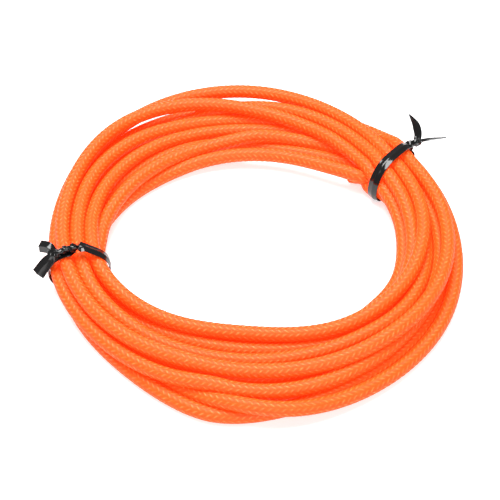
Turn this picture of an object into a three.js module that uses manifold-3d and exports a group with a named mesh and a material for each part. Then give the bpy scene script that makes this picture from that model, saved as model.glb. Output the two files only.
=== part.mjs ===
import * as THREE from 'three';
import { mergeVertices } from 'three/addons/utils/BufferGeometryUtils.js';
import Module from 'manifold-3d';

// Braided expandable cable sleeve, one length of it wound into a loose flat coil and held by
// two twist ties. Millimetres, +Z up. The coil lies on z = 0 with its axis on Z.
// The coil is one solid ring with its bore, and its turns show as ridges all round its section.

// The sleeve itself: an open-ended tube
const sleeveDiameter = 4.1;
const sleeveWall = 0.5;

// The twist ties: a flat plastic strip with a wire in it
const tieWidth = 3.0;
const tieThickness = 0.6;
const tieClearance = 0.35;

// The coil: its middle radius, and how the bundle of turns runs round it. Each station gives an
// angle in degrees, how far the bundle reaches inwards and outwards from the middle radius and
// its height, in sleeve diameters, and whether a tie's band lifts it off the floor. It spreads
// at the front and back, and the two ties gather it.
const coilRadius = 50;
const bandRoom = 0.15;
const tieLift = tieClearance + tieThickness + bandRoom;
const bundleStations = [
  { angle: 4, inwards: 2.1, outwards: 2.85, height: 2.95, lifted: 0 },
  { angle: 25, inwards: 2.2, outwards: 2.85, height: 2.85, lifted: 1 },
  { angle: 42, inwards: 2.0, outwards: 3.1, height: 2.85, lifted: 1 },
  { angle: 66, inwards: 2.5, outwards: 3.6, height: 2.6, lifted: 0 },
  { angle: 92, inwards: 2.75, outwards: 3.95, height: 2.55, lifted: 0 },
  { angle: 120, inwards: 2.6, outwards: 3.9, height: 2.6, lifted: 0 },
  { angle: 148, inwards: 2.2, outwards: 3.5, height: 2.7, lifted: 0 },
  { angle: 177, inwards: 2.3, outwards: 2.85, height: 2.85, lifted: 1 },
  { angle: 198, inwards: 2.7, outwards: 2.4, height: 2.85, lifted: 1 },
  { angle: 222, inwards: 3.4, outwards: 2.1, height: 2.9, lifted: 0 },
  { angle: 248, inwards: 4.0, outwards: 2.55, height: 2.95, lifted: 0 },
  { angle: 272, inwards: 4.05, outwards: 3.0, height: 2.85, lifted: 0 },
  { angle: 300, inwards: 3.45, outwards: 2.85, height: 2.8, lifted: 0 },
  { angle: 332, inwards: 2.6, outwards: 2.85, height: 2.9, lifted: 0 },
];
const coilSteps = 54;

// The bundle's section: a rounded block, flat where it rests, with one ridge for each turn
const roundness = 2.5;
const flatUnder = 0.1 * sleeveDiameter;
const ridgeCount = 14;
const ridgeDepth = 0.2 * sleeveDiameter;
const ridgeShoulder = 0.24;
const ridgeAngle = 60;

// The free end that looks out of the coil's inner side by the right tie. Its middle lies a
// little inside the bundle's inner outline.
const endFrom = 35;
const endTo = 49.5;
const endInset = 0.15 * sleeveDiameter;
const endBoreDepth = 9;
const endSides = 16;

// How the ties are cut into steps, and the twisted stretch's thickness
const bandSteps = 36;
const twistSize = 0.5 * tieWidth;
const twistSink = 0.5 * tieThickness;
const twistSteps = 14;
const tailSteps = 8;

// Each tie: the angle that its band stands at, how far the band leans along the coil across the
// bundle, its twisted stretch (degrees round the section, and distance out from the band), how
// often that turns, and its two tails, as steps from the end of the twist. The distances are in
// strip widths.
const tieLeft = {
  name: 'twist_tie_left',
  angle: 189,
  lean: -3,
  twistPath: [[90, 0], [76, 0], [60, 0], [47, 0.1]],
  twistTurns: 1.5,
  tails: [
    {
      points: [[0, 0, 0], [-0.7, 0.6, 0.15], [-1.55, 1.1, 0]],
      across: [[0.1, 0.7, 0.7], [0.1, 0.7, 0.7]],
    },
    {
      points: [[0, 0, 0], [-1.0, -0.5, -0.3], [-1.9, -1.25, -1.5]],
      across: [[0.55, -0.65, -0.5], [0.55, -0.65, -0.5]],
    },
  ],
};
const tieRight = {
  name: 'twist_tie_right',
  angle: 33,
  lean: 4,
  twistPath: [[32, 0], [24, 0], [18, 0.15], [14, 0.3]],
  twistTurns: 0.75,
  tails: [
    {
      points: [[0, 0, 0], [0.2, 1.0, 0.8], [-0.6, 2.3, 2.0]],
      across: [[1, 0.2, 0], [0.8, -0.3, 0.5]],
    },
    {
      points: [[0, 0, 0], [1.1, 0.5, 0.15], [2.9, 1.2, 0.05]],
      across: [[0.1, 0.2, 1], [-0.3, 0.5, 0.8]],
    },
  ],
};

const sleeveMaterial = new THREE.MeshStandardMaterial({ color: 0xf5631f, roughness: 0.5, metalness: 0 });
const tieMaterial = new THREE.MeshStandardMaterial({ color: 0x131214, roughness: 0.3, metalness: 0 });

const wasm = await Module();
wasm.setup();

const radians = (degrees) => THREE.MathUtils.degToRad(degrees);

// A smooth value between the stations, which run once round the coil and meet themselves
function bundleAt(angle, field) {
  const count = bundleStations.length;
  const turned = THREE.MathUtils.euclideanModulo(angle - bundleStations[0].angle, 360);
  const angleOf = (i) => bundleStations[THREE.MathUtils.euclideanModulo(i, count)].angle
    - bundleStations[0].angle + 360 * Math.floor(i / count);
  const valueOf = (i) => bundleStations[THREE.MathUtils.euclideanModulo(i, count)][field];
  let i = 0;
  while (angleOf(i + 1) <= turned) {
    i += 1;
  }
  const span = angleOf(i + 1) - angleOf(i);
  const along = (turned - angleOf(i)) / span;
  // flat at a station that is an extreme, so that the bundle stays level under a tie
  const slopeAt = (k) => {
    const before = (valueOf(k) - valueOf(k - 1)) / (angleOf(k) - angleOf(k - 1));
    const after = (valueOf(k + 1) - valueOf(k)) / (angleOf(k + 1) - angleOf(k));
    return before * after <= 0 ? 0 : 2 * before * after / (before + after);
  };
  const s = along * along * (3 - 2 * along);
  const bulgeOut = slopeAt(i) * span * along * (1 - along) ** 2;
  const bulgeIn = slopeAt(i + 1) * span * along ** 2 * (1 - along);
  return valueOf(i) + (valueOf(i + 1) - valueOf(i)) * s + bulgeOut - bulgeIn;
}

// A point on the bundle's outline: angle round the coil, turn round the section (0 outwards,
// 90 up, 180 inwards), and how far out from the outline
function bundlePoint(angle, turn, out) {
  const inwards = sleeveDiameter * bundleAt(angle, 'inwards');
  const outwards = sleeveDiameter * bundleAt(angle, 'outwards');
  const height = sleeveDiameter * bundleAt(angle, 'height') + flatUnder;
  const lift = tieLift * bundleAt(angle, 'lifted');
  const halfWidth = (inwards + outwards) / 2 + out;
  const halfHeight = height / 2 + out;
  const c = Math.cos(radians(turn));
  const s = Math.sin(radians(turn));
  const across = Math.sign(c) * Math.abs(c) ** (2 / roundness) * halfWidth;
  const up = Math.sign(s) * Math.abs(s) ** (2 / roundness) * halfHeight;
  const radius = coilRadius + (outwards - inwards) / 2 + across;
  const z = Math.max(height / 2 + up - flatUnder, -Math.max(out, 0)) + lift;
  return new THREE.Vector3(radius * Math.cos(radians(angle)), radius * Math.sin(radians(angle)), z);
}

// Joins rings of points, each with the same count, into one closed surface
function skin(rings, closed) {
  const size = rings[0].length;
  const positions = rings.flat().flatMap((p) => [p.x, p.y, p.z]);
  const faces = [];
  const last = closed ? rings.length : rings.length - 1;
  for (let i = 0; i < last; i += 1) {
    const a = i * size;
    const b = ((i + 1) % rings.length) * size;
    for (let j = 0; j < size; j += 1) {
      const k = (j + 1) % size;
      faces.push(a + j, b + j, b + k, a + j, b + k, a + k);
    }
  }
  if (!closed) {
    const end = (rings.length - 1) * size;
    for (let j = 1; j < size - 1; j += 1) {
      faces.push(0, j, j + 1, end, end + j + 1, end + j);
    }
  }
  const geometry = new THREE.BufferGeometry();
  geometry.setAttribute('position', new THREE.Float32BufferAttribute(positions, 3));
  geometry.setIndex(faces);
  return geometry;
}

function toSolid(geometry) {
  const bare = geometry.clone();
  bare.deleteAttribute('normal');
  bare.deleteAttribute('uv');
  const merged = mergeVertices(bare, 1e-4);
  return new wasm.Manifold(new wasm.Mesh({
    numProp: 3,
    vertProperties: new Float32Array(merged.attributes.position.array),
    triVerts: new Uint32Array(merged.index.array),
  }));
}

function toMesh(name, solid, material) {
  const made = solid.getMesh();
  const geometry = new THREE.BufferGeometry();
  geometry.setAttribute('position', new THREE.BufferAttribute(new Float32Array(made.vertProperties), 3));
  geometry.setIndex(new THREE.BufferAttribute(new Uint32Array(made.triVerts), 1));
  geometry.computeVertexNormals();
  const mesh = new THREE.Mesh(geometry, material);
  mesh.name = name;
  return mesh;
}

// The turns round the section that lie at equal steps along the outline of a middling bundle
function evenTurns(shares) {
  const samples = 720;
  const outline = [];
  for (let i = 0; i <= samples; i += 1) {
    outline.push(bundlePoint(ridgeAngle, 360 * i / samples, 0));
  }
  const lengths = [0];
  for (let i = 1; i <= samples; i += 1) {
    lengths.push(lengths[i - 1] + outline[i].distanceTo(outline[i - 1]));
  }
  return shares.map((share) => {
    const wanted = share * lengths[samples];
    const i = Math.max(1, lengths.findIndex((length) => length >= wanted));
    const part = (wanted - lengths[i - 1]) / (lengths[i] - lengths[i - 1]);
    return 360 * (i - 1 + part) / samples;
  });
}

// The ring of turns. A ridge is a valley and two shoulders, and the next ridge follows.
function coilRing() {
  const shares = [];
  const depths = [];
  for (let ridge = 0; ridge < ridgeCount; ridge += 1) {
    shares.push(
      ridge / ridgeCount,
      (ridge + ridgeShoulder) / ridgeCount,
      (ridge + 1 - ridgeShoulder) / ridgeCount,
    );
    depths.push(-ridgeDepth, 0, 0);
  }
  const turns = evenTurns(shares);
  const rings = [];
  for (let i = 0; i < coilSteps; i += 1) {
    const angle = 360 * i / coilSteps;
    rings.push(turns.map((turn, j) => bundlePoint(angle, turn, depths[j])));
  }
  return toSolid(skin(rings, true));
}

class CoilArc extends THREE.Curve {
  constructor(radius, height, from, to) {
    super();
    Object.assign(this, { radius, height, from, to });
  }

  getPoint(t) {
    const angle = radians(this.from + (this.to - this.from) * t);
    return new THREE.Vector3(this.radius * Math.cos(angle), this.radius * Math.sin(angle), this.height);
  }
}

function roundTube(diameter, radius, from, to) {
  const circle = new THREE.Shape();
  for (let i = 0; i < endSides; i += 1) {
    const turn = 2 * Math.PI * (i + 0.5) / endSides;
    const point = [diameter / 2 * Math.cos(turn), diameter / 2 * Math.sin(turn)];
    if (i === 0) {
      circle.moveTo(...point);
    } else {
      circle.lineTo(...point);
    }
  }
  const arc = new CoilArc(radius, sleeveDiameter / 2, from, to);
  return toSolid(new THREE.ExtrudeGeometry(circle, { steps: 5, extrudePath: arc, curveSegments: 1 }));
}

function makeSleeve() {
  const past = 1;
  const endRadius = coilRadius - sleeveDiameter * bundleAt(endTo, 'inwards') + endInset;
  const boreDegrees = THREE.MathUtils.radToDeg(endBoreDepth / endRadius);
  const end = roundTube(sleeveDiameter, endRadius, endFrom, endTo);
  const bore = roundTube(sleeveDiameter - 2 * sleeveWall, endRadius, endTo - boreDegrees, endTo + past);
  const solid = coilRing().add(end).subtract(bore);
  return toMesh('sleeve', solid, sleeveMaterial);
}

// A flat strip along points, each with the direction of its width
function strip(points, acrosses, width, thickness, closed) {
  const count = points.length;
  const rings = points.map((point, i) => {
    const before = closed ? points[(i - 1 + count) % count] : points[Math.max(i - 1, 0)];
    const after = closed ? points[(i + 1) % count] : points[Math.min(i + 1, count - 1)];
    const along = after.clone().sub(before).normalize();
    const normal = along.clone().cross(acrosses[i]).normalize();
    const across = normal.clone().cross(along).normalize();
    const corner = (a, n) => point.clone()
      .addScaledVector(across, a * width / 2)
      .addScaledVector(normal, n * thickness / 2);
    return [corner(-1, -1), corner(-1, 1), corner(1, 1), corner(1, -1)];
  });
  return toSolid(skin(rings, closed));
}

function coilwise(angle) {
  return new THREE.Vector3(-Math.sin(radians(angle)), Math.cos(radians(angle)), 0);
}

function makeTie(tie) {
  const bandOut = tieClearance + tieThickness / 2;
  const angleAt = (turn) => tie.angle + tie.lean * Math.cos(radians(turn));

  const bandTurns = Array.from({ length: bandSteps }, (_, i) => 360 * i / bandSteps);
  const bandPoints = bandTurns.map((turn) => bundlePoint(angleAt(turn), turn, bandOut));
  const bandAcross = bandTurns.map((turn) => coilwise(angleAt(turn)));
  const band = strip(bandPoints, bandAcross, tieWidth, tieThickness, true);

  const twistOut = bandOut + tieThickness / 2 + twistSize / 2 - twistSink;
  const axis = new THREE.CatmullRomCurve3(
    tie.twistPath.map(([turn, out]) => bundlePoint(angleAt(turn), turn, twistOut + tieWidth * out)),
  );
  const twistPoints = axis.getPoints(twistSteps);
  const twistAcross = twistPoints.map((_, i) => {
    const along = axis.getTangent(i / twistSteps);
    return coilwise(tie.angle).applyAxisAngle(along, 2 * Math.PI * tie.twistTurns * i / twistSteps);
  });
  const twist = strip(twistPoints, twistAcross, twistSize, twistSize, false);

  const knot = axis.getPoint(1);
  const tails = tie.tails.map(({ points, across }) => {
    const stops = points.map((p) => knot.clone().addScaledVector(new THREE.Vector3(...p), tieWidth));
    const route = new THREE.CatmullRomCurve3(stops);
    const [first, last] = across.map((v) => new THREE.Vector3(...v));
    const steps = route.getPoints(tailSteps);
    const widths = steps.map((_, i) => first.clone().lerp(last, i / tailSteps));
    return strip(steps, widths, tieWidth, tieThickness, false);
  });

  const solid = tails.reduce((whole, tail) => whole.add(tail), band.add(twist));
  return toMesh(tie.name, solid, tieMaterial);
}

const cableSleeve = new THREE.Group();
cableSleeve.add(makeSleeve());
cableSleeve.add(makeTie(tieLeft));
cableSleeve.add(makeTie(tieRight));

// The origin is under the middle of the whole, on the floor
const extent = new THREE.Box3().setFromObject(cableSleeve);
const middle = extent.getCenter(new THREE.Vector3());
cableSleeve.position.set(-middle.x, -middle.y, -extent.min.z);

export default cableSleeve;
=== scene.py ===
"""Braided cable sleeve: one length of expandable sleeving, wound into a loose coil and held by
two twist ties. The sleeve follows one settled route from its hidden start to its free cut end.
Everything is in metres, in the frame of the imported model. The tables of the route and of the
ties are in millimetres and degrees.
"""

import math

import bpy
import numpy as np
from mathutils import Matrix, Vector


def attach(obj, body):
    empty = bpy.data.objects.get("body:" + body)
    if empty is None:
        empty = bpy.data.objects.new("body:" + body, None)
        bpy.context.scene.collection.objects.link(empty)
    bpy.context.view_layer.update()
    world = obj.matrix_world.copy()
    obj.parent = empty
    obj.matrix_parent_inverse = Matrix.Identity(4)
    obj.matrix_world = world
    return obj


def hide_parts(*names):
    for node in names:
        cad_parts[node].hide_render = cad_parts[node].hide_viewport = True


bl_info = {
    "name": "Braided Cable Sleeve",
    "version": (1, 0, 0),
    "blender": (4, 5, 0),
    "location": "3D View > Sidebar > Sleeve",
    "description": "Builds a coil of braided cable sleeve with two twist ties",
    "category": "Object",
}

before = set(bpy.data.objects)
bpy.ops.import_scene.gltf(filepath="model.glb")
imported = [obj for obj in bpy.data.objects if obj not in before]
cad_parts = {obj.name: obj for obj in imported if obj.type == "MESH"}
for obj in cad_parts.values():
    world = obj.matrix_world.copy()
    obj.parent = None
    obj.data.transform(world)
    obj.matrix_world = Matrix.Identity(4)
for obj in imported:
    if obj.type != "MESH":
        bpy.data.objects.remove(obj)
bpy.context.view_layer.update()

MM = 0.001
COIL_CENTRE = Vector((0.0021, -0.00195, 0.0))

# The route's points, one turn after another. A point is its distance out from the coil's middle
# radius and its height. The points of a turn are ANGLE_STEP apart and start close to the left
# tie. The last turn is a part turn that ends at the free end. The hidden start and the free end
# are each an angle, a distance out and a height.
FIRST_ANGLE = 190
ANGLE_STEP = 20
TURNS = (
    (
        (-1.4, 6.9), (-2.5, 4.4), (-4.4, 2.1), (0.2, 2.1), (4.8, 2.1), (3, 2.1),
        (2.2, 2.1), (2.2, 2.1), (2.7, 2.1), (2.4, 2.3), (1.4, 3.1), (-10.4, 5.4),
        (-11, 4.9), (-10.8, 4.5), (-9.8, 3.4), (-8.4, 2.5), (-6.6, 2.2), (-4.2, 2.7),
    ),
    (
        (-2.8, 3.2), (-5.8, 3), (-10, 2.3), (-12.8, 2.4), (-12.6, 2.4), (-11, 2.2),
        (-5.8, 2.1), (-3.6, 3), (-1.8, 5.6), (-1.4, 8.2), (-1.8, 10.2), (1.5, 9.2),
        (7, 8.2), (11.8, 6.4), (9.6, 3.2), (7.6, 2.2), (4.8, 2.2), (2.4, 2.6),
    ),
    (
        (0.6, 3.2), (0.2, 2.1), (-0.4, 2.1), (4.8, 2.1), (12.4, 5.6), (10.9, 2.8),
        (10, 2.1), (10.1, 2.2), (9.9, 3.6), (9.6, 5.6), (9.2, 6.8), (5.6, 5.4),
        (3, 2.6), (2, 2.4), (2.1, 3.8), (1.9, 5.2), (-0.4, 6.3), (-3, 8),
    ),
    (
        (-4.4, 10), (-7.2, 7.7), (-12, 5.6), (-15.6, 5.5), (-16.6, 5.4), (-13.4, 5.6),
        (-8, 5.7), (-3.8, 6.6), (-1, 9.2), (1.8, 9.8), (2.6, 10.4), (5.8, 9.8),
        (12, 8), (18.9, 6.3), (18.8, 6.2), (15.2, 5.8), (10, 5.8), (6.8, 6.2),
    ),
    (
        (6.2, 6.9), (5, 6), (4.6, 5.8), (5.2, 5.6), (5.9, 5.6), (5.8, 5.6),
        (5.2, 5.8), (5.2, 5.8), (5.6, 5.8), (5.2, 6.4), (4.8, 6.8), (2, 4.5),
        (-2, 3.4), (-4.9, 4), (-6.2, 4.4), (-7.2, 5), (-6.8, 5), (-6.1, 5.8),
    ),
    (
        (-4.9, 6.9), (-8.2, 3.6), (-14, 2.1), (-17, 2.1), (-17.4, 2.1), (-15, 2.1),
        (-9.8, 2.1), (-6.2, 2.1), (-3.6, 2.3), (-3.6, 4.6), (-4.2, 6.8), (-2.4, 7.6),
        (1.7, 7), (7, 7), (13.2, 8.9), (14.8, 9), (9.2, 8.8), (5.2, 9.4),
    ),
    (
        (3.6, 10.6), (2.6, 9.4), (1.2, 8.3), (-0.9, 7.8), (-0.7, 7.7), (1.4, 8.4),
        (3.8, 9.2), (6, 9.6), (7.4, 9.4), (8, 9.6), (7, 10.4), (10.2, 5.4),
        (12.6, 3.2), (15.4, 2.1), (12.8, 2.1), (14.4, 2.1), (9.8, 2.1), (5.8, 2.3),
    ),
    (
        (4.6, 3.2), (4.4, 2.2), (3.4, 2.1), (7.4, 2.1), (11.2, 2), (6.9, 2.1),
        (6.2, 2.1), (6.2, 2.1), (6.6, 2.1), (6.8, 2.3), (6.6, 3.1), (7.2, 2.3),
        (7, 2.1), (6, 3.1), (6.2, 4.7), (7.4, 7), (5.2, 7.8), (0.4, 9.4),
    ),
    (
        (-0.5, 10.8), (-0.9, 7.6), (-3.6, 5.6), (-6, 5.4), (-6, 5.2), (-5.7, 5.2),
        (-3, 5.4), (1.4, 6), (1.6, 5.8), (1.2, 6), (0.4, 6.8), (-3, 2.3),
        (-6, 2.1), (-4.6, 2.1), (-0.8, 2.1), (-0.6, 2.1), (-1.8, 2.2), (-1.9, 3.2),
    ),
    (
        (2.6, 6.9), (1.6, 5.4), (0, 4.6), (0.2, 4.2), (-0.4, 4), (-1.8, 2.3),
        (-1.8, 2.1), (-1.8, 2.1), (-1.3, 2.1), (-1.6, 2.1), (-2.8, 3.1),
    ),
)
HIDDEN_START = (178, -1.2, 6.8)
FREE_END = (405.5, -5.6, 2.1)

# How the route is settled. In each round a strand is drawn to the table's curve, gently where it
# is free and firmly at a tie, its bends are evened out, and strands that lie in one another are
# pushed apart.
SETTLE_STEP = 5
SETTLE_ROUNDS = 400
FREE_HOLD = 0.04
HOLD_EASES = 0.5
TIE_HOLD = 0.25
EVENING = 0.25
PUSHES = 2
PUSH_SHARE = 0.45
FINE_POINTS = 12

# Degrees from a tie at which its lift of the strands and its grip on them end, and the degrees
# over which they rise
LIFT_REACH, LIFT_RISE = 18, 14
GRIP_REACH, GRIP_RISE = 14, 12

# The ties. A tie's upright plane stands at an angle of the coil and leans along it. Its twist is
# given in degrees round the bundle and distance out from it. The points of its two tails are
# steps from the twist's end, each with the way the strip's width runs, its share of the full
# width and how far its edges are cupped.
TIES = (
    {
        "piece": "tie_strip_left",
        "node": "twist_tie_left",
        "angle": 193,
        "lean": -7,
        "twist": ((95, 2.0), (80, 1.7), (62, 1.4), (48, 1.2)),
        "twist_turns": 1.5,
        "tails": (
            (
                ((-2.3, 1.8, 0.5), (0.1, 0.72, 0.68), 1.0, 0.5),
                ((-5.2, 3.2, -0.2), (0.1, 0.72, 0.68), 1.05, 0.9),
            ),
            (
                ((-2.0, -1.4, -1.0), (0.55, -0.65, -0.5), 1.0, -0.4),
                ((-5.4, -4.0, -4.2), (0.55, -0.65, -0.5), 1.2, -1.0),
            ),
        ),
    },
    {
        "piece": "tie_strip_right",
        "node": "twist_tie_right",
        "angle": 33,
        "lean": 16,
        "twist": ((33, 0.4), (27, 1.0), (22, 1.9), (18, 3.0)),
        "twist_turns": 0.75,
        "tails": (
            (
                ((0.5, 1.3, 0.8), (0.95, 0.1, 0.1), 0.7, 0.2),
                ((0.3, 3.8, 3.2), (0.95, 0.2, 0.2), 0.74, 0.35),
                ((-2.0, 6.6, 5.9), (0.8, 0.3, 0.3), 0.14, 0.0),
            ),
            (
                ((1.6, 0.7, 0.2), (-0.1, 0.98, 0.18), 0.4, 0.0),
                ((3.2, 1.2, 0.2), (-0.1, 0.98, 0.18), 0.36, 0.0),
                ((9.5, 1.9, 0.5), (-0.1, 0.98, 0.18), 0.16, 0.0),
            ),
        ),
    },
)


class SleeveSizes(bpy.types.PropertyGroup):
    """Sizes and colours of the braided sleeve and its coil."""

    diameter: bpy.props.FloatProperty(
        name="Sleeve diameter",
        description="Outside diameter of the sleeve as it lies in the coil",
        default=0.0041,
        min=0.002,
        unit="LENGTH",
    )
    wall: bpy.props.FloatProperty(
        name="Sleeve wall",
        description="Thickness of the braid",
        default=0.0004,
        min=0.0002,
        unit="LENGTH",
    )
    pick: bpy.props.FloatProperty(
        name="Pick spacing",
        description="Distance along the sleeve between one yarn and the next of the same lean",
        default=0.0018,
        min=0.0008,
        unit="LENGTH",
    )
    relief: bpy.props.FloatProperty(
        name="Braid relief",
        description="How far the yarn crossings stand above the gaps between them",
        default=0.0002,
        min=0.0,
        unit="LENGTH",
    )
    coil_radius: bpy.props.FloatProperty(
        name="Coil radius",
        description="Middle radius of the coil, which the route's points are measured from",
        default=0.05,
        min=0.03,
        unit="LENGTH",
    )
    spacing: bpy.props.FloatProperty(
        name="Strand spacing",
        description="Least distance between the middles of two strands that touch",
        default=0.00405,
        min=0.002,
        unit="LENGTH",
    )
    tie_lift: bpy.props.FloatProperty(
        name="Lift at the ties",
        description="How far a tie's band lifts the lowest strands off the floor",
        default=0.001,
        min=0.0,
        unit="LENGTH",
    )
    yarn_colour: bpy.props.FloatVectorProperty(
        name="Yarn colour",
        description="Colour of the yarns where they stand up",
        default=(1.0, 0.088, 0.007),
        size=3,
        min=0.0,
        max=1.0,
        subtype="COLOR",
    )
    # Painted shade: the yarn's colour darkened where one yarn dives under another
    gap_shade_colour: bpy.props.FloatVectorProperty(
        name="Gap colour",
        description="Colour where one yarn dives under another",
        default=(0.98, 0.07, 0.005),
        size=3,
        min=0.0,
        max=1.0,
        subtype="COLOR",
    )
    # Painted highlight: a light glint painted on the top of each crossing
    crown_glint_colour: bpy.props.FloatVectorProperty(
        name="Crown colour",
        description="Colour of the light fleck on the top of each crossing",
        default=(1.0, 0.21, 0.06),
        size=3,
        min=0.0,
        max=1.0,
        subtype="COLOR",
    )
    # Painted glow: red light that the sleeve gives off itself, though it is no lamp
    painted_glow: bpy.props.FloatProperty(
        name="Dye glow",
        description="Strength of the bright dye's own red light",
        default=0.3,
        min=0.0,
    )


class TieSizes(bpy.types.PropertyGroup):
    """Sizes and colours of the two twist ties."""

    width: bpy.props.FloatProperty(
        name="Strip width",
        description="Width of the plastic strip",
        default=0.0033,
        min=0.001,
        unit="LENGTH",
    )
    thickness: bpy.props.FloatProperty(
        name="Strip thickness",
        description="Thickness of the strip's flat edges",
        default=0.00028,
        min=0.0001,
        unit="LENGTH",
    )
    wire: bpy.props.FloatProperty(
        name="Wire ridge",
        description="Thickness of the strip over the wire that runs inside it",
        default=0.00068,
        min=0.0002,
        unit="LENGTH",
    )
    colour: bpy.props.FloatVectorProperty(
        name="Plastic colour",
        description="Colour of the black plastic",
        default=(0.004, 0.0038, 0.004),
        size=3,
        min=0.0,
        max=1.0,
        subtype="COLOR",
    )


class StageSettings(bpy.types.PropertyGroup):
    """The camera, the floor and the lights."""

    elevation: bpy.props.FloatProperty(
        name="Camera elevation",
        description="Angle of the camera above the floor",
        default=math.radians(46.0),
        subtype="ANGLE",
    )
    distance: bpy.props.FloatProperty(
        name="Camera distance",
        description="Distance from the camera to the middle of the coil",
        default=0.4115,
        unit="LENGTH",
    )
    lens: bpy.props.FloatProperty(
        name="Lens",
        description="Focal length of the camera in millimetres",
        default=101.5,
    )
    floor_colour: bpy.props.FloatVectorProperty(
        name="Floor colour",
        description="Colour of the plain pale floor",
        default=(0.66, 0.66, 0.66),
        size=3,
        min=0.0,
        max=1.0,
        subtype="COLOR",
    )
    floor_glow: bpy.props.FloatProperty(
        name="Floor glow",
        description="Strength of the floor's own light, as of a lit table",
        default=0.55,
        min=0.0,
    )
    room_light: bpy.props.FloatProperty(
        name="Room light",
        description="Strength of the even light from all round",
        default=0.3,
        min=0.0,
    )
    key_light: bpy.props.FloatProperty(
        name="Key light",
        description="Power shared by the soft lights overhead and in front",
        default=27.0,
        min=0.0,
        unit="POWER",
    )


def link(name, mesh, material):
    """A new object in the scene with this mesh and material."""
    obj = bpy.data.objects.new(name, mesh)
    bpy.context.scene.collection.objects.link(obj)
    mesh.materials.append(material)
    return obj


def between(knots, values, at):
    """A smooth curve through the values at the knots, read at other places."""
    slopes = np.gradient(values, knots)
    i = np.clip(np.searchsorted(knots, at) - 1, 0, len(knots) - 2)
    span = knots[i + 1] - knots[i]
    t = (at - knots[i]) / span
    start, end = values[i], values[i + 1]
    leave, arrive = slopes[i] * span, slopes[i + 1] * span
    return (
        start * (1 + 2 * t) * (1 - t) ** 2
        + leave * t * (1 - t) ** 2
        + end * t**2 * (3 - 2 * t)
        - arrive * t**2 * (1 - t)
    )


def smooth_step(t):
    """0 below 0, 1 above 1 and an even rise between."""
    t = np.clip(t, 0, 1)
    return t * t * (3 - 2 * t)


def unit(vectors):
    """Each vector at length 1."""
    return vectors / np.linalg.norm(vectors, axis=-1, keepdims=True)


def route_stations():
    """The table's points as angle, distance out and height, in degrees and millimetres."""
    points = [point for turn in TURNS for point in turn]
    angles = [FIRST_ANGLE + ANGLE_STEP * i for i in range(len(points))]
    stations = [(angle, *point) for angle, point in zip(angles, points)]
    whole_turns = 360 * (len(TURNS) - 1)
    last = (FREE_END[0] + whole_turns, FREE_END[1], FREE_END[2])
    return np.array([HIDDEN_START, *stations, last], float)


def near_tie(tie, angles, reach, rise):
    """1 close to a tie, falling to 0 at its reach, in degrees round the coil."""
    away = np.abs((angles - tie["angle"] + 180) % 360 - 180)
    return smooth_step((reach - away) / rise)


def lowest(angles, sizes):
    """The least height of a strand's middle, which rises a little over each tie's band."""
    low = np.full(len(angles), sizes.diameter / 2)
    for tie in TIES:
        low += sizes.tie_lift * near_tie(tie, angles, LIFT_REACH, LIFT_RISE)
    return low


def held(angles):
    """How firmly the ties hold a strand at each angle, from 0 to 1."""
    grip = np.zeros(len(angles))
    for tie in TIES:
        grip += near_tie(tie, angles, GRIP_REACH, GRIP_RISE)
    return grip


def push_apart(out, up, columns, spacing):
    """Moves strands that lie in one another apart, at each angle where the route has points."""
    for here in columns:
        across = out[here][:, None] - out[here][None]
        above = up[here][:, None] - up[here][None]
        apart = np.hypot(across, above) + np.eye(len(here))
        push = np.clip(spacing - apart, 0, None) * PUSH_SHARE / apart
        out[here] += (push * across).sum(1)
        up[here] += (push * above).sum(1)


def settled_route(sizes):
    """The sleeve's middle line: the table's curve, settled so that its strands touch and rest."""
    stations = route_stations()
    first = math.ceil(stations[0, 0] / SETTLE_STEP) * SETTLE_STEP
    angles = np.arange(first, stations[-1, 0], SETTLE_STEP)
    wanted = [between(stations[:, 0], stations[:, k] * MM, angles) for k in (1, 2)]
    out, up = (w.copy() for w in wanted)
    low = lowest(angles, sizes)
    column = np.round(angles / SETTLE_STEP).astype(int) % (360 // SETTLE_STEP)
    columns = [np.where(column == k)[0] for k in range(360 // SETTLE_STEP)]
    grip = held(angles)
    for step in range(SETTLE_ROUNDS):
        hold = FREE_HOLD * (1 - HOLD_EASES * step / SETTLE_ROUNDS) + TIE_HOLD * grip
        for line, target in ((out, wanted[0]), (up, wanted[1])):
            line += hold * (target - line)
            line[1:-1] += EVENING * (0.5 * (line[:-2] + line[2:]) - line[1:-1])
        for _ in range(PUSHES):
            push_apart(out, up, columns, sizes.spacing)
            np.maximum(up, low, out=up)
    # the free end runs on past the last settled point, in step with it
    angles = np.append(angles, stations[-1, 0])
    out = np.append(out, out[-1] + stations[-1, 1] * MM - wanted[0][-1])
    up = np.append(up, max(up[-1] + stations[-1, 2] * MM - wanted[1][-1], sizes.diameter / 2))
    fine = np.linspace(angles[0], angles[-1], len(angles) * FINE_POINTS)
    radius = sizes.coil_radius + between(angles, out, fine)
    height = between(angles, up, fine)
    turned = np.radians(fine)
    line = np.stack([radius * np.cos(turned), radius * np.sin(turned), height], -1)
    return line + np.array(COIL_CENTRE)


def evenly(line, step):
    """The line again with its points an even step apart."""
    along = np.append(0, np.cumsum(np.linalg.norm(np.diff(line, axis=0), axis=1)))
    count = int(along[-1] / step)
    at = np.linspace(0, along[-1], count + 1)
    return np.stack([between(along, line[:, k], at) for k in range(3)], -1)


def frames(line, first_side):
    """The direction along a line and two across it that turn as little as they can."""
    along = unit(np.gradient(line, axis=0))
    side = np.empty_like(line)
    current = np.array(first_side, float)
    for i, direction in enumerate(along):
        current = current - direction * (current @ direction)
        current /= np.linalg.norm(current)
        side[i] = current
    return along, side, np.cross(along, side)


def mesh_from(name, points, faces, smooth=True):
    """A mesh of these points and faces."""
    mesh = bpy.data.meshes.new(name)
    mesh.from_pydata(points.tolist(), [], faces)
    mesh.polygons.foreach_set("use_smooth", [smooth] * len(mesh.polygons))
    mesh.update()
    return mesh


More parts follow.
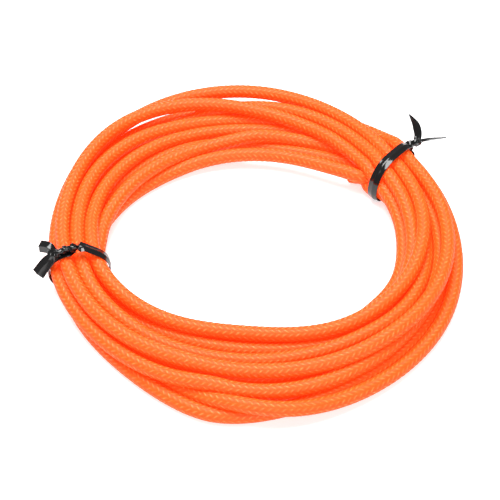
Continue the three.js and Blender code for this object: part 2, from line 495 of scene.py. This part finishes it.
BRAID_SIDES = 20
BRAID_SEED = 4
BORE_DEPTH = 0.012
# Shares of the relief that the tube's points stand out by, where yarns cross and in between
CROSSING_OUT, BETWEEN_OUT = 0.4, -0.6
# The cut end: how far it flares, over how many rings, and how short and how long its yarns end
END_FLARE = 0.00022
FLARE_RINGS = 1.6
END_SHORTEST, END_LONGEST = -0.00025, 0.00022


def braid_tube(sizes, line):
    """The braided tube along the line: a hollow tube whose points are the yarns' crossings."""
    along, side, lift = frames(line, (0, 0, 1))
    rng = np.random.default_rng(BRAID_SEED)
    count = len(line)
    last = count - 1
    deep = int(BORE_DEPTH / (sizes.pick / 2))
    # the rings run up the bore at the hidden start, along the outside, and back into the cut end
    into_start = np.arange(deep, -1, -1)
    into_end = np.arange(last, last - 1 - deep, -1)
    rings = np.concatenate([into_start, np.arange(count), into_end])
    inside = np.ones(len(rings), bool)
    inside[deep + 1 : deep + 1 + count] = False
    crossing = (rings[:, None] + np.arange(BRAID_SIDES)) % 2 == 0
    radius = sizes.diameter / 2 + sizes.relief * np.where(crossing, CROSSING_OUT, BETWEEN_OUT)
    radius = np.where(inside[:, None], sizes.diameter / 2 - sizes.wall, radius)
    # the cut end flares a little, and its yarns end unevenly
    from_end = last - rings
    radius += END_FLARE * np.exp(-from_end / FLARE_RINGS)[:, None]
    turned = np.arange(BRAID_SIDES) / BRAID_SIDES * 2 * math.pi
    sideways = np.cos(turned)[:, None] * side[rings][:, None]
    upwards = np.sin(turned)[:, None] * lift[rings][:, None]
    points = line[rings][:, None] + radius[..., None] * (sideways + upwards)
    uneven = rng.uniform(END_SHORTEST, END_LONGEST, BRAID_SIDES)
    points += (np.where(from_end < 1, 1, 0)[:, None] * uneven)[..., None] * along[rings][:, None]
    faces = []
    uvs = []
    for k in range(len(rings) - 1):
        low, high = rings[k] / 2, rings[k + 1] / 2
        for m in range(BRAID_SIDES):
            n = (m + 1) % BRAID_SIDES
            a, b = k * BRAID_SIDES + m, k * BRAID_SIDES + n
            c, d = b + BRAID_SIDES, a + BRAID_SIDES
            left, right = (m + 0.5) / 2, (m + 1.5) / 2
            corner = {a: (left, low), b: (right, low), c: (right, high), d: (left, high)}
            split = ((a, b, c), (a, c, d)) if (rings[k] + m) % 2 == 0 else ((a, b, d), (b, c, d))
            for face in split:
                faces.append(face)
                uvs.extend(corner[v] for v in face)
    points = points.reshape(-1, 3)
    for start, flip in ((0, True), (len(points) - BRAID_SIDES, False)):
        cap = list(range(start, start + BRAID_SIDES))
        faces.append(cap[::-1] if flip else cap)
        uvs.extend([(0.5, 0.5)] * BRAID_SIDES)
    mesh = mesh_from("cable_sleeve_braid", points, faces)
    mesh.uv_layers.new(name="braid").data.foreach_set("uv", np.array(uvs, float).ravel())
    return mesh


class NodeSheet:
    """Adds nodes to a material, so that a pattern reads as sums."""

    def __init__(self, name):
        self.material = bpy.data.materials.new(name)
        self.material.use_nodes = True
        self.tree = self.material.node_tree
        self.shader = self.tree.nodes["Principled BSDF"]

    def node(self, kind, **inputs):
        """A node of this kind, with its inputs linked or set."""
        made = self.tree.nodes.new(kind)
        for key, value in inputs.items():
            self.put(made.inputs[key.replace("_", " ")], value)
        return made

    def put(self, socket, value):
        """Links a socket's output into an input, or sets a number."""
        if isinstance(value, bpy.types.NodeSocket):
            self.tree.links.new(value, socket)
        else:
            socket.default_value = value

    def maths(self, operation, *values):
        """The output of a Math node."""
        made = self.tree.nodes.new("ShaderNodeMath")
        made.operation = operation
        for socket, value in zip(made.inputs, values):
            self.put(socket, value)
        return made.outputs[0]

    def crown(self, value):
        """1 where a value's fraction is a half, falling to 0 at its whole numbers."""
        centred = self.maths("SUBTRACT", self.maths("FRACT", value), 0.5)
        return self.maths("MULTIPLY_ADD", self.maths("MULTIPLY", centred, centred), -4.0, 1.0)

    def mix(self, factor, low, high):
        """A colour between two colours, either of which may be another node's."""
        made = self.tree.nodes.new("ShaderNodeMix")
        made.data_type = "RGBA"
        self.put(made.inputs[0], factor)
        for socket, colour in ((made.inputs[6], low), (made.inputs[7], high)):
            self.put(socket, (*colour, 1) if isinstance(colour, tuple) else colour)
        return made.outputs[2]


# The weave: how far a yarn slants across its column, how many filaments show in a yarn, where a
# crossing's raised dash starts, which also carries a painted glint, and the shares of the weave and
# the filaments in the relief
YARN_SLANT = 0.75
FILAMENTS = 4.0
DASH_START = 0.45
WEAVE_SHARE, FILAMENT_SHARE = 0.46, 0.08
BRAID_BUMP = 0.00011
# The painted glints on the dashes vary at random: how finely, how strongly, and from what level
GLINT_SCALE = 900.0
GLINT_STRENGTH, GLINT_LEVEL = 2.4, -0.6
# Colour of the painted red glow, which lights the sleeve though it is no lamp
PAINTED_GLOW_COLOUR = (1.0, 0.075, 0.008)


def braid_material(sizes):
    """Orange yarns that pass over two and under two, in columns that lean left and right."""
    sheet = NodeSheet("orange_braid")
    uv = sheet.node("ShaderNodeUVMap")
    uv.uv_map = "braid"
    split = sheet.node("ShaderNodeSeparateXYZ", Vector=uv.outputs[0])
    round_it, along = split.outputs[0], split.outputs[1]
    column = sheet.maths("FLOOR", round_it)
    lean = sheet.maths("MULTIPLY_ADD", sheet.maths("MODULO", column, 2.0), -2.0, 1.0)
    across = sheet.maths("SUBTRACT", sheet.maths("FRACT", round_it), 0.25)
    run = sheet.maths("MULTIPLY", sheet.maths("MULTIPLY", lean, across), YARN_SLANT)
    phase = sheet.maths("ADD", sheet.maths("SUBTRACT", along, run), 0.5)
    yarn = sheet.crown(phase)
    over = sheet.crown(round_it)
    filament = sheet.crown(sheet.maths("MULTIPLY", phase, FILAMENTS))
    pillow = sheet.maths("MULTIPLY", sheet.maths("POWER", over, 0.6), yarn)
    thin = sheet.maths("MULTIPLY", sheet.maths("POWER", over, 0.7), sheet.maths("POWER", yarn, 4.0))
    dash = sheet.node("ShaderNodeMapRange", Value=thin, From_Min=DASH_START, From_Max=1.0).outputs[0]
    weave = sheet.maths("MULTIPLY", sheet.maths("ADD", pillow, dash), WEAVE_SHARE)
    height = sheet.maths("MULTIPLY_ADD", filament, FILAMENT_SHARE, weave)
    place = sheet.node("ShaderNodeTexCoord")
    drift = sheet.node(
        "ShaderNodeTexNoise", Vector=place.outputs["Object"], Scale=GLINT_SCALE, Detail=1.0
    )
    rise = sheet.node("ShaderNodeMapRange", Value=pillow, From_Min=0.0, From_Max=0.6)
    varied = sheet.maths("MULTIPLY_ADD", drift.outputs[0], GLINT_STRENGTH, GLINT_LEVEL)
    glint = sheet.maths("MULTIPLY", dash, varied)
    # painted shade: the yarns darken towards the gap shade colour where they dive under
    yarn_and_shade = sheet.mix(rise.outputs[0], tuple(sizes.gap_shade_colour), tuple(sizes.yarn_colour))
    # painted highlight: a light glint painted on each crossing's dash, varied at random
    colour = sheet.mix(glint, yarn_and_shade, tuple(sizes.crown_glint_colour))
    bump = sheet.node("ShaderNodeBump", Height=height, Strength=1.0, Distance=BRAID_BUMP)
    sheet.put(sheet.shader.inputs["Base Color"], colour)
    sheet.put(sheet.shader.inputs["Normal"], bump.outputs[0])
    rough = sheet.node("ShaderNodeMapRange", Value=height, To_Min=0.55, To_Max=0.34)
    sheet.put(sheet.shader.inputs["Roughness"], rough.outputs[0])
    sheet.shader.inputs["Specular IOR Level"].default_value = 0.2
    sheet.shader.inputs["Subsurface Weight"].default_value = 0.25
    sheet.shader.inputs["Subsurface Radius"].default_value = (1.0, 0.2, 0.05)
    sheet.shader.inputs["Subsurface Scale"].default_value = 0.0008
    # painted glow: the sleeve gives off red light of its own, though it is no lamp
    sheet.shader.inputs["Emission Color"].default_value = (*PAINTED_GLOW_COLOUR, 1)
    sheet.shader.inputs["Emission Strength"].default_value = sizes.painted_glow
    return sheet.material


CREASE_SCALE = 260.0
CREASE_BUMP = 0.0004


def plastic_material(sizes):
    """Glossy black plastic strip, faintly creased."""
    sheet = NodeSheet("black_tie_plastic")
    place = sheet.node("ShaderNodeTexCoord")
    creases = sheet.node(
        "ShaderNodeTexNoise", Vector=place.outputs["Object"], Scale=CREASE_SCALE, Detail=1.0
    )
    bump = sheet.node("ShaderNodeBump", Height=creases.outputs[0], Strength=0.4, Distance=CREASE_BUMP)
    sheet.shader.inputs["Base Color"].default_value = (*sizes.colour, 1)
    rough = sheet.node("ShaderNodeMapRange", Value=creases.outputs[0], To_Min=0.08, To_Max=0.2)
    sheet.put(sheet.shader.inputs["Roughness"], rough.outputs[0])
    sheet.put(sheet.shader.inputs["Normal"], bump.outputs[0])
    sheet.shader.inputs["Specular IOR Level"].default_value = 0.5
    return sheet.material


def hull(points):
    """The outline round a set of flat points, counter-clockwise."""
    ordered = sorted(map(tuple, points))
    sides = []
    for run in (ordered, ordered[::-1]):
        chain = []
        for p in run:
            while len(chain) > 1:
                (ax, ay), (bx, by) = chain[-2], chain[-1]
                if (bx - ax) * (p[1] - ay) - (by - ay) * (p[0] - ax) > 0:
                    break
                chain.pop()
            chain.append(p)
        sides += chain[:-1]
    return np.array(sides)


# A tie's band: how near a strand runs to be held by it, the room round a strand, the degrees
# to each side that the stiff strip bridges, and the least height of its middle over the floor
HELD_WITHIN = 0.02
STRAND_ROOM = 0.0001
STRAND_SIDES = 24
STIFF_REACH = 20
BAND_LEAST_HEIGHT = 0.00045


class BundleSection:
    """The bundle cut by a tie's upright plane: where a stiff band lies at each angle round it."""

    def __init__(self, tie, sizes, line):
        stands = math.radians(tie["angle"])
        points_to = math.radians(tie["angle"] + tie["lean"])
        middle = np.array([math.cos(stands), math.sin(stands), 0]) * sizes.coil_radius
        self.origin = np.array(COIL_CENTRE) + middle
        self.out = np.array([math.cos(points_to), math.sin(points_to), 0])
        self.normal = np.array([-self.out[1], self.out[0], 0])
        self.up = np.array([0, 0, 1.0])
        reach = line - self.origin
        beyond = reach @ self.normal
        near = np.abs(reach @ self.out) < HELD_WITHIN
        cut = np.where((beyond[:-1] * beyond[1:] <= 0) & near[:-1])[0]
        share = (beyond[cut] / (beyond[cut] - beyond[cut + 1]))[:, None]
        hits = reach[cut] * (1 - share) + reach[cut + 1] * share
        flat = np.stack([hits @ self.out, hits[:, 2]], -1)
        turn = np.linspace(0, 2 * math.pi, STRAND_SIDES, endpoint=False)
        disc = np.stack([np.cos(turn), np.sin(turn)], -1) * (sizes.diameter / 2 + STRAND_ROOM)
        outline = hull((flat[:, None] + disc).reshape(-1, 2))
        self.middle = (outline.min(0) + outline.max(0)) / 2
        spokes = outline - self.middle
        corners = np.degrees(np.arctan2(spokes[:, 1], spokes[:, 0])) % 360
        order = np.argsort(corners)
        corners = corners[order]
        reaches = np.linalg.norm(spokes, axis=1)[order]
        # three rounds of the corners, so that the strip's stiffness carries over from 360 to 0
        corners = np.concatenate([corners - 360, corners, corners + 360])
        reaches = np.concatenate([reaches] * 3)
        self.angles = np.arange(-STIFF_REACH, 361 + STIFF_REACH)
        window = np.arange(-STIFF_REACH, STIFF_REACH + 1)
        taut = np.interp(self.angles[:, None] + window, corners, reaches)
        stiff = taut.mean(1)
        self.lengths = stiff + (taut[:, STIFF_REACH] - stiff).max()

    def at(self, degrees, away):
        """The point this many degrees round the bundle and this far out, kept over the floor."""
        reach = np.interp(degrees % 360, self.angles, self.lengths) + away
        turn = math.radians(degrees)
        across = self.middle[0] + reach * math.cos(turn)
        height = max(self.middle[1] + reach * math.sin(turn), BAND_LEAST_HEIGHT)
        return self.origin + self.out * across + self.up * height


# Across the strip: share of its half width, and whether it is edge, flat or over the wire
STRIP_SECTION = ((-1.0, "edge"), (-0.86, "flat"), (-0.34, "flat"), (-0.17, "wire"), (0.0, "crest"))
# The least shares of its width and thickness that a strip has, and how its thickness follows
LEAST_WIDTH, LEAST_THICKNESS = 0.1, 0.25
THICKNESS_FOLLOWS = 1.4


def ribbon(sizes, points, across, width_share, cup):
    """A strip with a wire ridge down its middle: its points and faces."""
    along = unit(np.gradient(points, axis=0))
    across = unit(across - along * (across * along).sum(1, keepdims=True))
    face = np.cross(along, across)
    thick = {
        "edge": 0.3 * sizes.thickness,
        "flat": 0.5 * sizes.thickness,
        "wire": 0.42 * sizes.wire,
        "crest": 0.5 * sizes.wire,
    }
    half = [(share, thick[kind]) for share, kind in STRIP_SECTION]
    top = half + [(-share, rise) for share, rise in half[-2::-1]]
    section = top + [(share, -rise) for share, rise in top[::-1]]
    slim = np.clip(width_share, LEAST_WIDTH, None)[:, None]
    rows = []
    for share, rise in section:
        reach = share * sizes.width / 2 * slim
        thinned = rise * np.clip(THICKNESS_FOLLOWS * slim, LEAST_THICKNESS, 1)
        rows.append(points + across * reach + face * (thinned + abs(share) * cup[:, None]))
    rings = np.stack(rows, 1)
    count, sides = rings.shape[:2]
    faces = []
    for k in range(count - 1):
        for m in range(sides):
            n = (m + 1) % sides
            faces.append((k * sides + m, (k + 1) * sides + m, (k + 1) * sides + n, k * sides + n))
    faces.append(tuple(range(sides)))
    faces.append(tuple(range(count * sides - 1, (count - 1) * sides - 1, -1)))
    return rings.reshape(-1, 3), faces


def through(knots, steps):
    """A smooth line through a few points, as rows of any width."""
    knots = np.array(knots, float)
    length = np.append(0, np.cumsum(np.linalg.norm(np.diff(knots[:, :3], axis=0), axis=1)))
    at = np.linspace(0, length[-1], steps)
    return np.stack([between(length, knots[:, k], at) for k in range(knots.shape[1])], -1)


# A tie's band, in degrees round the bundle: how far each half laps past the middle, how far
# round the twist draws the band out, and where the outer half tucks in under the twist. Then the
# share of its width that it loses there, and the room between the band and the strands.
LAP = 4
TWIST_DRAWS = 24
TUCK_START, TUCK_RISE = 338, 14
TUCK_NARROWS = 0.7
BAND_ROOM = 0.00005
# The twist: its steps, how far each strip parts from its middle, in millimetres, and the share
# of its width that a strip loses, each with the steps that this takes
TWIST_STEPS = 28
TWIST_PARTS, PARTS_OVER = 0.5, 5
TWIST_NARROWS, NARROWS_OVER = 0.25, 8
# Points along the strips: round the inner and the outer half, and along each smoothed line
INNER_POINTS, OUTER_POINTS = 60, 80
LONG_POINTS, SHORT_POINTS = 200, 90


def tie_strips(tie, sizes, sleeve_sizes, line):
    """One twist tie's strips: its band, and its two ends, which twist together and part."""
    section = BundleSection(tie, sleeve_sizes, line)
    root = tie["twist"][0][0]
    gap = sizes.wire / 2 + BAND_ROOM
    # one end's strip goes round the inner half of the bundle and on into the twist, and the
    # other's goes round the outer half and tucks its wide part under the twist's start
    turned = np.linspace(root + 180 + LAP, root + LAP, INNER_POINTS)
    lift = tie["twist"][0][1] * MM * np.exp(-(((turned - root) / TWIST_DRAWS) ** 2))
    inner = np.array([section.at(*place) for place in zip(turned, gap + lift)])
    turned = np.linspace(root + 180 - LAP, root + 360 - 2 * LAP, OUTER_POINTS)
    outer = np.array([section.at(degrees, gap) for degrees in turned])
    slim = 1 - TUCK_NARROWS * smooth_step((turned - root - TUCK_START) / TUCK_RISE)
    pieces = [(outer, np.tile(section.normal, (len(outer), 1)), slim, 0 * slim)]
    twist = [section.at(degrees, gap + away * MM) for degrees, away in tie["twist"]]
    axis = through(twist, TWIST_STEPS)
    along, side, other = frames(axis, section.normal)
    for sign, tail in zip((1, -1), tie["tails"]):
        knots = [(*place, *section.normal, 1, 0) for place in inner[::3]] if sign == 1 else []
        for i in range(0, TWIST_STEPS, 2):
            turn = 2 * math.pi * tie["twist_turns"] * i / (TWIST_STEPS - 1)
            width_way = math.cos(turn) * side[i] + math.sin(turn) * other[i]
            parted = float(smooth_step(i / PARTS_OVER))
            apart = np.cross(along[i], width_way) * sign * TWIST_PARTS * MM * parted
            narrow = 1 - TWIST_NARROWS * float(smooth_step(i / NARROWS_OVER))
            knots.append((*(axis[i] + apart), *(width_way * sign), narrow, 0))
        for step, width_way, share, cup in tail:
            place = axis[-1] + np.array(step) * MM
            knots.append((*place, *unit(np.array(width_way)), share, cup * MM))
        fine = through(knots, LONG_POINTS if sign == 1 else SHORT_POINTS)
        pieces.append((fine[:, :3], fine[:, 3:6], fine[:, 6], fine[:, 7]))
    return pieces


def tie_mesh(name, sizes, pieces):
    """All of one tie's strips as one mesh."""
    points, faces = [], []
    for line, across, share, cup in pieces:
        strip_points, strip_faces = ribbon(sizes, line, across, share, cup)
        start = sum(map(len, points))
        points.append(strip_points)
        faces += [tuple(start + v for v in face) for face in strip_faces]
    mesh = mesh_from(name, np.concatenate(points), faces)
    mesh.set_sharp_from_angle(angle=math.radians(30))
    return mesh


# What the camera looks at over the coil's middle, and the picture's shift as a share of its width
TARGET_HEIGHT = 0.008
SENSOR_WIDTH = 36
LENS_SHIFT = -0.026
FLOOR_RADIUS = 3
FLOOR_SIDES = 64
# Each lamp's name, place, size and share of the key light's power
LAMPS = (
    ("overhead_light", (-0.08, 0.25, 0.95), 0.7, 0.72),
    ("front_light", (0.1, -0.85, 0.6), 0.9, 0.26),
)


def aim(name, data, place, way):
    """A camera or a lamp at a place, facing a way."""
    obj = bpy.data.objects.new(name, data)
    obj.location = place
    obj.rotation_mode = "QUATERNION"
    obj.rotation_quaternion = way.to_track_quat("-Z", "Y")
    bpy.context.scene.collection.objects.link(obj)
    return obj


def add_camera(scene, settings, target):
    """The camera, in front of the coil and above it."""
    back = Vector((0, -math.cos(settings.elevation), math.sin(settings.elevation)))
    lens = bpy.data.cameras.new("camera")
    lens.lens = settings.lens
    lens.sensor_width = SENSOR_WIDTH
    lens.shift_y = LENS_SHIFT
    lens.clip_start, lens.clip_end = 0.01, 20
    scene.camera = aim("camera", lens, target + back * settings.distance, -back)


def add_floor(settings):
    """A plain pale disc of floor."""
    paper = NodeSheet("pale_floor")
    paper.shader.inputs["Base Color"].default_value = (*settings.floor_colour, 1)
    paper.shader.inputs["Roughness"].default_value = 0.9
    paper.shader.inputs["Specular IOR Level"].default_value = 0.1
    paper.shader.inputs["Emission Color"].default_value = (1, 1, 1, 1)
    paper.shader.inputs["Emission Strength"].default_value = settings.floor_glow
    turns = np.linspace(0, 2 * math.pi, FLOOR_SIDES, endpoint=False)
    rim = np.array([(FLOOR_RADIUS * math.cos(a), FLOOR_RADIUS * math.sin(a), 0) for a in turns])
    disc = mesh_from("floor", rim, [tuple(range(FLOOR_SIDES))], False)
    floor = link("floor", disc, paper.material)


def add_lights(scene, settings, target):
    """The even light of the room, and the soft lamps."""
    world = bpy.data.worlds.new("room")
    world.use_nodes = True
    background = world.node_tree.nodes["Background"]
    background.inputs[0].default_value = (1, 1, 1, 1)
    background.inputs[1].default_value = settings.room_light
    scene.world = world
    for name, place, size, share in LAMPS:
        lamp = bpy.data.lights.new(name, "AREA")
        lamp.energy = settings.key_light * share
        lamp.size = size
        aim(name, lamp, place, target - Vector(place))


class OBJECT_OT_sleeve_stage(bpy.types.Operator):
    """Makes the camera, the pale floor and the soft lights."""

    bl_idname = "object.sleeve_stage"
    bl_label = "Camera, Floor and Lights"

    def execute(self, context):
        scene = context.scene
        settings = scene.sleeve_stage
        scene.view_settings.view_transform = "Standard"
        target = COIL_CENTRE + Vector((0, 0, TARGET_HEIGHT))
        add_camera(scene, settings, target)
        add_floor(settings)
        add_lights(scene, settings, target)
        return {"FINISHED"}


class OBJECT_OT_braided_sleeve(bpy.types.Operator):
    """Winds the braided sleeve along its settled route."""

    bl_idname = "object.braided_sleeve"
    bl_label = "Braided Sleeve"

    def execute(self, context):
        sizes = context.scene.sleeve_sizes
        line = evenly(settled_route(sizes), sizes.pick / 2)
        sleeve = link("cable_sleeve_braid", braid_tube(sizes, line), braid_material(sizes))
        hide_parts("sleeve")
        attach(sleeve, "root")
        ROUTE["line"] = line
        return {"FINISHED"}


class OBJECT_OT_twist_ties(bpy.types.Operator):
    """Makes the two black twist ties round the bundle."""

    bl_idname = "object.twist_ties"
    bl_label = "Twist Ties"

    def execute(self, context):
        sizes = context.scene.tie_sizes
        if "line" not in ROUTE:
            raise RuntimeError("wind the sleeve before the ties")
        plastic = plastic_material(sizes)
        for tie in TIES:
            strips = tie_strips(tie, sizes, context.scene.sleeve_sizes, ROUTE["line"])
            piece = link(tie["piece"], tie_mesh(tie["piece"], sizes, strips), plastic)
            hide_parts(tie["node"])
            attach(piece, "root")
        return {"FINISHED"}


class VIEW3D_PT_braided_sleeve(bpy.types.Panel):
    """Lists the sleeve's settings and the steps that build it."""

    bl_label = "Braided Sleeve"
    bl_space_type = "VIEW_3D"
    bl_region_type = "UI"
    bl_category = "Sleeve"

    def draw(self, context):
        layout = self.layout
        for settings, step in STEPS:
            box = layout.box()
            group = getattr(context.scene, settings)
            for name in group.__annotations__:
                box.prop(group, name)
            box.operator(step)


# The sleeve's middle line, kept for the step that makes the ties
ROUTE = {}
STEPS = (
    ("sleeve_stage", "object.sleeve_stage"),
    ("sleeve_sizes", "object.braided_sleeve"),
    ("tie_sizes", "object.twist_ties"),
)
GROUPS = {"sleeve_stage": StageSettings, "sleeve_sizes": SleeveSizes, "tie_sizes": TieSizes}
CLASSES = (
    *GROUPS.values(),
    OBJECT_OT_sleeve_stage,
    OBJECT_OT_braided_sleeve,
    OBJECT_OT_twist_ties,
    VIEW3D_PT_braided_sleeve,
)


def register():
    for cls in CLASSES:
        bpy.utils.register_class(cls)
    for name, group in GROUPS.items():
        setattr(bpy.types.Scene, name, bpy.props.PointerProperty(type=group))


def unregister():
    for name in GROUPS:
        delattr(bpy.types.Scene, name)
    for cls in reversed(CLASSES):
        bpy.utils.unregister_class(cls)


def main():
    register()
    bpy.ops.object.sleeve_stage()
    bpy.ops.object.braided_sleeve()
    bpy.ops.object.twist_ties()


if __name__ == "__main__":
    main()
